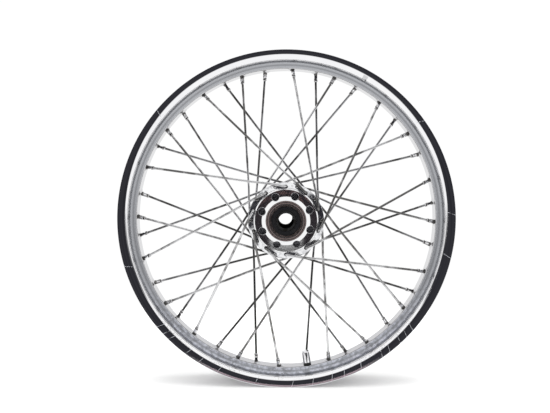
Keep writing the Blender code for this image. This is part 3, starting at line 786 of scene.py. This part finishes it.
def dimple(points):
    """Raises a slanted dimple towards the hub round every nipple."""
    radius = np.hypot(points[:, 0], points[:, 2])
    angle = np.arctan2(points[:, 2], points[:, 0])
    near_floor = smooth_step((0.2612 - radius) / 0.0030)
    rise = np.zeros(len(points))
    for spoke in SPOKES.values():
        radial = on_wheel(1, 0, spoke.nipple_angle)
        tangent = Vector((-radial.z, 0, radial.x))
        lean = spoke.outward.dot(tangent) / spoke.outward.dot(radial)
        lean_y = spoke.outward.y / spoke.outward.dot(radial)
        for group in range(GROUPS):
            centre = spoke.nipple_angle + GROUP_STEP * group
            away = (angle - centre + math.pi) % FULL_TURN - math.pi
            run = away * WELL_RADIUS
            side = points[:, 1] - spoke.nipple_y
            distance = np.hypot(run, side)
            share = 1 - smooth_step((distance - DIMPLE_FLAT) / (DIMPLE_RADIUS - DIMPLE_FLAT))
            tilt = lean * run + lean_y * side
            rise = np.maximum(rise, share * (DIMPLE_HEIGHT + np.clip(tilt, -0.0006, 0.0012)))
    rise *= near_floor
    kept = radius - rise
    points[:, 0] *= kept / radius
    points[:, 2] *= kept / radius
    return points


def make_rim(finish):
    outline = divided(rounded(rim_corners(), 6), 0.0016)
    points, faces = lathe(outline, RIM_STEPS)
    shell = mesh_from("rim_shell", dimple(points), faces, 50)
    rim = add("rim_shell", shell, "wheel", finish, ("rim",))
    valve_hole = [(0.0051, -0.009), (0.0051, -0.0030), (0.0044, -0.0030), (0.0044, 0.006)]
    holes = [turned(valve_hole, 32, valve_place())]
    nipple_hole = [(NIPPLE_HOLE_RADIUS, -0.006), (NIPPLE_HOLE_RADIUS, 0.008)]
    for spoke in SPOKES.values():
        hole = turned(nipple_hole, 20, along(spoke.seat, spoke.outward))
        holes += [moved(hole, group_turn(group)) for group in range(GROUPS)]
    cut(rim, cutter("rim_holes", holes))
    flatten(rim)
    # The butt weld that closes the rolled strip, dressed back but still proud inside the seat.
    rings = []
    for radius, y, reach in (
        (0.26535, -0.0268, 0.0004), (0.26520, -0.0262, 0.0011), (0.26500, -0.0215, 0.0014),
        (0.26485, -0.0170, 0.0010), (0.26480, -0.0162, 0.0004),
    ):
        ring = []
        for k in range(10):
            a = FULL_TURN * k / 10
            at = WELD_ANGLE + reach * math.cos(a) / radius
            ring.append(on_wheel(radius - WELD_HEIGHT * math.sin(a), y, at))
        rings.append(ring)
    add("rim_weld_bead", mesh_from("rim_weld_bead", *loft(rings)), "wheel", finish)


def make_band(finish):
    half = [
        (0.2646, -0.0098, 0.0004), (0.2628, -0.0098, 0.0004),
        (0.2628, -0.0072, 0.0002), (0.2632, -0.0068, 0.0002),
        (0.2632, -0.0052, 0.0002), (0.2628, -0.0048, 0.0002),
    ]
    band = turned_ring("rim_sealing_strip", mirrored(half), 360, "wheel", finish,
                       ("rim_seal_band",), segments=2)
    cut(band, cutter("band_hole", [turned([(0.0054, -0.016), (0.0054, 0)], 32, valve_place())]))


# ---------------------------------------------------------------- hub


def hub_corners():
    shoulder = BEARING_CENTRE - BEARING_HALF - GAP
    flange = [
        (0.0535, -0.0448, 0.0003),
        (0.0627, -0.0417, 0.0009),
        (0.0630, -FLANGE_BACK, 0.0010),
        (0.0520, -FLANGE_BACK, 0.0008),
        (0.0508, -0.0345, 0.0020),
        (0.0502, -0.0285, 0.0060),
        (0.0350, -0.0130, 0.0060),
    ]
    front = [
        (0.0200, -shoulder, 0.0004),
        (BEARING_SEAT_RADIUS, -shoulder, 0.0002),
        (BEARING_SEAT_RADIUS, -HUB_HALF_LENGTH + 0.0008, 0.0005),
        (0.0291, -HUB_HALF_LENGTH + 0.0008, 0.0002),
        (0.0296, -HUB_HALF_LENGTH, 0.0002),
        (BOSS_FACE_RADIUS, -HUB_HALF_LENGTH, 0.0004),
        (BOSS_RADIUS, -HUB_HALF_LENGTH + BOSS_CONE_DEPTH, 0.0005),
        (BOSS_RADIUS, -0.0380, 0.0008),
        (0.0507, -0.0380, 0.0006),
        (0.0507, -COLLAR_FACE, 0.0002),
        (0.0511, -COLLAR_FACE, 0.0002),
        (0.0529, -0.0459, 0.0002),
        (0.0530, -0.0448, 0.0003),
    ]
    back = [
        (0.0527, DISC_FACE, 0.0006),
        (0.0285, DISC_FACE, 0.0003),
        (0.0283, HUB_HALF_LENGTH, 0.0009),
        (0.0268, HUB_HALF_LENGTH, 0.0004),
        (BEARING_SEAT_RADIUS, 0.0565, 0.0002),
        (BEARING_SEAT_RADIUS, shoulder, 0.0002),
        (0.0200, shoulder, 0.0004),
    ]
    return front + flange + [(c[0], -c[1], c[2]) for c in reversed(flange)] + back


def slot_solid(spoke):
    """A slot from an outer spoke's elbow to the next inner head, flared where it meets the flange."""
    side = spoke.side
    lean = 1 if side < 0 else -1
    next_hole = on_wheel(INNER_HOLE_RADIUS, 0, spoke.hole_angle + lean * GROUP_STEP / 2)
    run = next_hole - spoke.hole
    rings = []
    for y, wider in (
        (SLOT_FLOOR, -0.0009), (SLOT_FLOOR + 0.0002, -0.0003), (SLOT_FLOOR + 0.0009, -0.0001),
        (0.0432, 0.0), (0.0445, 0.0003), (0.0515, 0.0006),
    ):
        ring = []
        for centre, turned_by in ((spoke.hole, math.pi), (next_hole, 0)):
            for k in range(11):
                aim = math.atan2(run.z, run.x) + turned_by - math.pi / 2 + math.pi * k / 10
                point = centre + on_wheel(SLOT_HALF_WIDTH + wider, 0, aim)
                ring.append(Vector((point.x, side * y, point.z)))
        rings.append(ring)
    return loft(rings)


def make_hub(finish, lip_finish):
    outline = divided(rounded(hub_corners(), 4), 0.004)
    shell = mesh_from("hub_shell", *lathe(outline, HUB_STEPS))
    hub = add("hub_shell", shell, "wheel", finish, ("hub",))
    parts = []
    for kind in ("front_outer", "back_outer"):
        solid = slot_solid(SPOKES[kind])
        parts += [moved(solid, group_turn(g)) for g in range(GROUPS)]
    pocket = [(POCKET_RADIUS, -0.060), (POCKET_RADIUS, -0.0308), (POCKET_RADIUS - 0.0008, -0.0300)]
    pocket_places = around_axle(POCKETS, POCKET_CIRCLE_RADIUS, FIRST_POCKET)
    parts += [turned(pocket, 48, place) for place in pocket_places]
    bolt_hole = [
        (0.0010, DISC_FACE - 0.0150), (DISC_BOLT_HOLE_RADIUS, DISC_FACE - 0.0140),
        (DISC_BOLT_HOLE_RADIUS, DISC_FACE - 0.0007), (DISC_BOLT_HOLE_RADIUS + 0.0017, DISC_FACE + 0.001),
    ]
    bolt_places = around_axle(DISC_BOLTS, DISC_BOLT_CIRCLE_RADIUS, FIRST_DISC_BOLT)
    parts += [turned(bolt_hole, 32, place) for place in bolt_places]
    cut(hub, cutter("hub_recesses", parts))
    parts = []
    for spoke in SPOKES.values():
        ends = [(SPOKE_HOLE_RADIUS, spoke.side * y) for y in (0.030, 0.0515)]
        for group in range(GROUPS):
            parts.append(turned(ends, 16, group_turn(group) @ Matrix.Translation(spoke.hole)))
    cut(hub, cutter("hub_spoke_holes", parts))
    hub.data.shade_smooth()
    hub.data.set_sharp_from_angle(angle=math.radians(28))
    flatten(hub)
    # A thin raised lip round each pocket's mouth.
    lip = [
        (POCKET_RADIUS - 0.0002, -0.0376, 0.0001), (POCKET_RADIUS - 0.0002, -0.0386, 0.0003),
        (POCKET_RADIUS + 0.0004, -0.0386, 0.0003), (POCKET_RADIUS + 0.0006, -0.0376, 0.0001),
    ]
    for k, place in enumerate(pocket_places):
        turned_ring(f"hub_pocket_lip_{k + 1}", lip, 48, "wheel", lip_finish, place=place)


# ---------------------------------------------------------------- bearings


def shifted(corners, y, flip):
    """The corners moved along the axle, or mirrored first when flip is -1."""
    return [(c[0], y + flip * c[1], *c[2:]) for c in corners]


def make_bearings(race, outer_race, seal, ball, spacer):
    for where, y, out in (("front", -BEARING_CENTRE, 1), ("back", BEARING_CENTRE, -1)):
        half = BEARING_HALF
        inner = [
            (0.0125, -half, 0.0007), (0.0162, -half, 0.0004), (0.0162, -0.0052, 0.0002),
            (0.0156, -0.0030, 0.0004), (0.0150, 0, 0), (0.0156, 0.0030, 0.0004),
            (0.0162, 0.0052, 0.0002), (0.0162, half, 0.0004), (0.0125, half, 0.0007),
        ]
        turned_ring(f"bearing_inner_ring_{where}", shifted(inner, y, out), 120, "axle_group",
                    race, (f"bearing_inner_race_{where}",))
        outer = [
            (0.0260, -half, 0.0008), (0.0243, -half, 0.0003), (0.0243, -half + 0.0018, 0.0001),
            (0.0225, -half + 0.0018, 0.0002), (0.0225, -0.0040, 0.0003), (0.0235, 0, 0),
            (0.0225, 0.0040, 0.0003), (0.0225, half - 0.0018, 0.0002), (0.0243, half - 0.0018, 0.0001),
            (0.0243, half, 0.0003), (0.0260, half, 0.0008),
        ]
        turned_ring(f"bearing_outer_ring_{where}", shifted(outer, y, out), 160, "wheel",
                    outer_race, (f"bearing_outer_race_{where}",))
        near = half - 0.0003
        for label, sign in (("outer", -1), ("inner", 1)):
            ribs = [
                (0.01665, near, 0.0002), (0.0176, near, 0.0002), (0.0180, near - 0.0004, 0.0002),
                (0.0199, near - 0.0004, 0.0002), (0.0203, near - 0.0001, 0.0002),
                (0.0226, near - 0.0001, 0.0003), (0.0229, near - 0.0004, 0.0002),
                (0.0233, near, 0.0002), (0.02385, near, 0.0003),
                (0.02385, near - 0.0010, 0.0002), (0.01665, near - 0.0010, 0.0002),
            ]
            turned_ring(f"bearing_{label}_lip_seal_{where}", shifted(ribs, y, out * sign), 120, "wheel",
                        seal, (f"bearing_{label}_seal_{where}",), segments=2)
        cage = [(r, side, 0.0003) for r, side in (
            (0.01785, -0.0014), (0.02065, -0.0014), (0.02065, 0.0014), (0.01785, 0.0014),
        )]
        points, faces = lathe(rounded(cage, 2), 90)
        points = [(p[0], p[1] + y, p[2]) for p in points]
        bm = bmesh.new()
        for centre in around_axle(BALLS, BALL_CIRCLE_RADIUS, 0, y):
            bmesh.ops.create_uvsphere(bm, u_segments=24, v_segments=14, radius=BALL_RADIUS, matrix=centre)
        spheres = [tuple(v.co) for v in bm.verts]
        base = len(points)
        faces += [tuple(base + v.index for v in f.verts) for f in bm.faces]
        bm.free()
        balls = mesh_from("balls", points + spheres, faces)
        add(f"bearing_balls_and_cage_{where}", balls, f"ball_set_{where}", ball,
            (f"bearing_ball_set_{where}",))
    end = BEARING_CENTRE - BEARING_HALF - GAP
    tube = [(0.0160, -end, 0.0006), (0.0128, -end, 0.0005)]
    turned_ring("axle_spacer_sleeve", mirrored(tube), 120, "axle_group", spacer,
                ("axle_spacer_tube",))


# ---------------------------------------------------------------- valve


def make_valve(rubber_finish, brass_finish, cap_finish):
    """The valve's pieces, each turned about its own +Y, which points from the rim to the hub."""
    place = valve_place()
    body = [
        (0.0027, -0.0094, 0.0002), (0.0035, -0.0094, 0.0006), (0.0047, -0.0074, 0.0012),
        (0.0047, -0.0033, 0.0003), (0.0038, -0.0030, 0.0002), (0.0038, 0.0007, 0.0001),
        (0.0066, 0.0007, 0.0004), (0.0066, 0.0020, 0.0010), (0.0059, 0.0042, 0.0006),
        (0.0027, 0.0042, 0.0002),
    ]
    turned_ring("valve_base", body, 64, "wheel", rubber_finish,
                ("valve_rubber_body",), place)
    threads = []
    for k in range(12):
        low = 0.0102 + 0.0008 * k
        threads += [(0.0038, low + 0.0001), (0.0035, low + 0.0005)]
    stem = [(0.0017, -0.0090), (0.0024, -0.0090), (0.0024, 0.0090), (0.0036, 0.0100)] + threads
    stem += [(0.0034, 0.0200, 0.0003), (0.0017, 0.0200, 0.0002)]
    turned_ring("valve_stem_tube", stem, 48, "wheel", brass_finish,
                ("valve_stem",), place, segments=2)
    core = [
        (0.0009, 0.0090, 0.0001), (0.0014, 0.0090, 0.0002),
        (0.0014, 0.0188, 0.0002), (0.0009, 0.0188, 0.0001),
    ]
    turned_ring("valve_core_body", core, 32, "wheel", brass_finish,
                ("valve_core",), place, segments=2)
    pin = [(0.0003, 0.0060), (0.0005, 0.0062), (0.0005, 0.0194), (0.0003, 0.0196)]
    add("valve_core_pin", mesh_from("valve_core_pin", *turned(pin, 16, place)), "valve_pin_body",
        brass_finish, ("valve_pin",))
    cap = [
        (0.0052, 0.0046, 0.0002), (0.0064, 0.0046, 0.0003), (0.0069, 0.0052, 0.0004),
        (0.0069, 0.0226, 0.0008),
        (0.0058, 0.0242, 0.0007), (0.0004, 0.0242), (0.0004, 0.0214), (0.0040, 0.0214, 0.0003),
        (0.0042, 0.0102, 0.0002), (0.0052, 0.0098, 0.0003),
    ]
    points, faces = lathe(rounded(cap, 4), 96)
    # Shallow grip flutes round the side, fading out towards both ends.
    low, high, fade = 0.0060, 0.0222, 0.0012
    fluted = []
    for x, y, z in points:
        radius = math.hypot(x, z)
        if radius > 0.0065 and low < y < high:
            depth = FLUTE_DEPTH * (0.5 + 0.5 * math.cos(CAP_FLUTES * math.atan2(z, x)))
            ends = min(1.0, (y - low) / fade, (high - y) / fade)
            scale = (radius - depth * max(0.0, ends)) / radius
            x, z = x * scale, z * scale
        fluted.append((x, y, z))
    mesh = mesh_from("valve_cap_shell", fluted, faces)
    mesh.transform(place)
    add("valve_cap_shell", mesh, "wheel", cap_finish, ("valve_cap",))


# ---------------------------------------------------------------- studio


def make_floor():
    low, near, far, side = -RIM_RADIUS - 0.0002, -3, FLOOR_BACK, 4
    corners = [(-side, near, low), (side, near, low), (side, far, low), (-side, far, low)]
    floor_mesh = mesh_from("floor", corners, [(0, 1, 2, 3)])
    floor = bpy.data.objects.new("floor", floor_mesh)
    bpy.context.scene.collection.objects.link(floor)
    f = Finish("floor paper", (0.9, 0.9, 0.9), 0.0, 0.75)
    floor_mesh.materials.append(f.done(f.mix(f.noise(3, 3), (0.96, 0.96, 0.95), (0.94, 0.94, 0.94))))
    floor.visible_glossy = False


def make_room():
    """White where the camera looks. Surfaces also see a dark part, wider than high, about the camera."""
    world = bpy.data.worlds.new("studio")
    bpy.context.scene.world = world
    world.use_nodes = True
    world.node_tree.nodes.clear()
    w = Nodes(world.node_tree, "Generated")
    x, y, z = w.axes()
    ahead = w.math("MAXIMUM", w.times(y, -1.0), 0.001)
    across = w.math("DIVIDE", w.math("DIVIDE", x, ahead), DARK_HALF_WIDTH)
    up = w.math("DIVIDE", w.minus(w.math("DIVIDE", z, ahead), DARK_RISE), DARK_HALF_HEIGHT)
    spread = w.plus(*(w.math("POWER", w.size(value), DARK_POWER) for value in (across, up)))
    dark = w.mix(w.noise(5, 2, 0.5), (0.010, 0.010, 0.014), (0.050, 0.050, 0.058))
    colour = w.mix(w.ramp(spread, 0.70, 1.30), dark, (1.0, 1.0, 1.0))
    around = w.node("ShaderNodeBackground", {"Color": colour, "Strength": 1.08}).outputs[0]
    behind = w.node("ShaderNodeBackground", {"Color": (1, 1, 1), "Strength": 1.02}).outputs[0]
    from_camera = w.node("ShaderNodeLightPath").outputs["Is Camera Ray"]
    both = w.node("ShaderNodeMixShader", {0: from_camera, 1: around, 2: behind}).outputs[0]
    w.node("ShaderNodeOutputWorld", {"Surface": both})


def make_studio():
    scene = bpy.context.scene
    scene.view_settings.view_transform = "Standard"
    scene.view_settings.look = "None"
    make_floor()
    make_room()
    for name, place, size, power in (
        ("top_softbox", (0.0, -0.1, 1.9), 1.6, 22),
        ("left_softbox", (-1.9, -0.6, 0.7), 1.2, 10),
        ("right_softbox", (1.9, -0.5, 0.9), 1.2, 10),
    ):
        lamp = bpy.data.lights.new(name, "AREA")
        lamp.shape = "SQUARE"
        lamp.size = size
        lamp.energy = power
        holder = bpy.data.objects.new(name, lamp)
        scene.collection.objects.link(holder)
        holder.location = place
        holder.rotation_euler = (-Vector(place)).to_track_quat("-Z", "Y").to_euler()
        holder.visible_glossy = False

    camera = bpy.data.cameras.new("camera")
    camera.sensor_width = 36
    camera.lens = CAMERA_LENS
    camera.clip_start = 0.01
    holder = bpy.data.objects.new("camera", camera)
    scene.collection.objects.link(holder)
    holder.location = CAMERA_PLACE
    holder.rotation_euler = [math.radians(angle) for angle in CAMERA_TURN]
    scene.camera = holder


def main():
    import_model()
    make_rim(rim_chrome())
    make_band(rubber("band rubber", (0.035, 0.035, 0.036), (0.12, 0.11, 0.10), 500))
    make_spokes(
        spoke_chrome("front spoke chrome", (0.70, 0.70, 0.71), (0.18, 0.177, 0.173)),
        spoke_chrome("back spoke chrome", (0.42, 0.42, 0.43), (0.10, 0.098, 0.096)),
        nipple_chrome(),
    )
    make_hub(hub_chrome(), lip_chrome())
    make_bearings(
        # Painted shade: the inner races are steel painted matt near black, with no shine.
        bearing_steel("inner race steel", (0.024, 0.024, 0.025), (0.012, 0.011, 0.010), 0.0, 0.0),
        bearing_steel("outer race steel", (0.26, 0.21, 0.20), (0.12, 0.09, 0.085)),
        rubber("seal rubber", (0.010, 0.010, 0.012), (0.03, 0.026, 0.024), 700, 0.15),
        bearing_steel("ball steel", (0.80, 0.80, 0.80), (0.62, 0.61, 0.60)),
        # Painted shade: the spacer deep in the bore is painted matt near black.
        rubber("spacer steel with painted shade", (0.020, 0.020, 0.021), (0.05, 0.045, 0.042), 400, 0.0),
    )
    make_valve(
        rubber("valve rubber", (0.012, 0.012, 0.012), (0.06, 0.055, 0.05), 600),
        brass(),
        cap_chrome(),
    )
    make_studio()


main()
